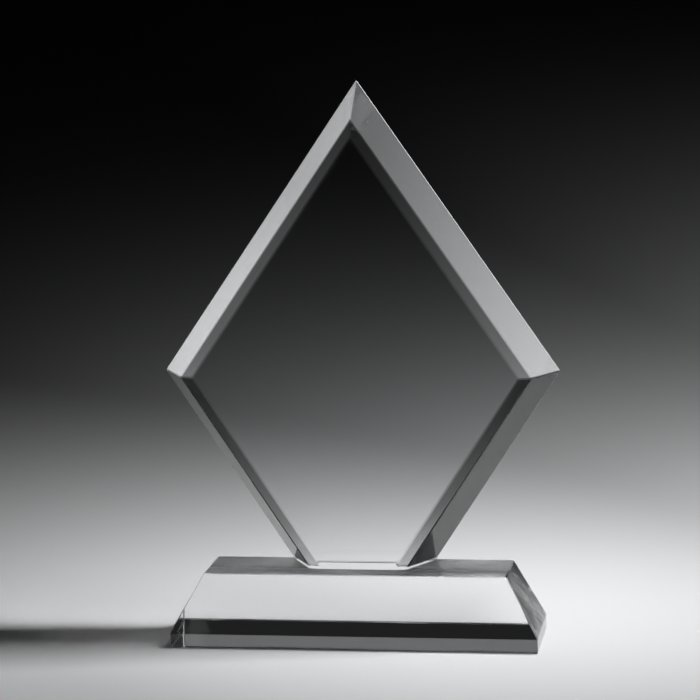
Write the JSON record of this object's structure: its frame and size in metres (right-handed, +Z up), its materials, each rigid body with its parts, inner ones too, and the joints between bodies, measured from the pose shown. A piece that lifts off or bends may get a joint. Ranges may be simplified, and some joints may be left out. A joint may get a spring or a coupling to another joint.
{
  "type": "crystal award",
  "caption": "Upright diamond-shaped clear crystal plate with bevelled edges, bonded to a low sloped crystal base.",
  "frame": {"origin": "centre of the base's underside, on the surface the award stands on", "axes": "+Z up, +X along the award's width to the viewer's right when facing its front, -Y out of the bevelled front face"},
  "size_m": [0.1432, 0.0386, 0.1994],
  "materials": {
    "plate_glass": "polished",
    "cured_adhesive": "clear",
    "base_glass": "polished"
  },
  "bodies": {
    "root": {"diamond_plate": "plate_glass", "adhesive_film": "cured_adhesive", "crystal_base": "base_glass"}
  },
  "joints": []
}
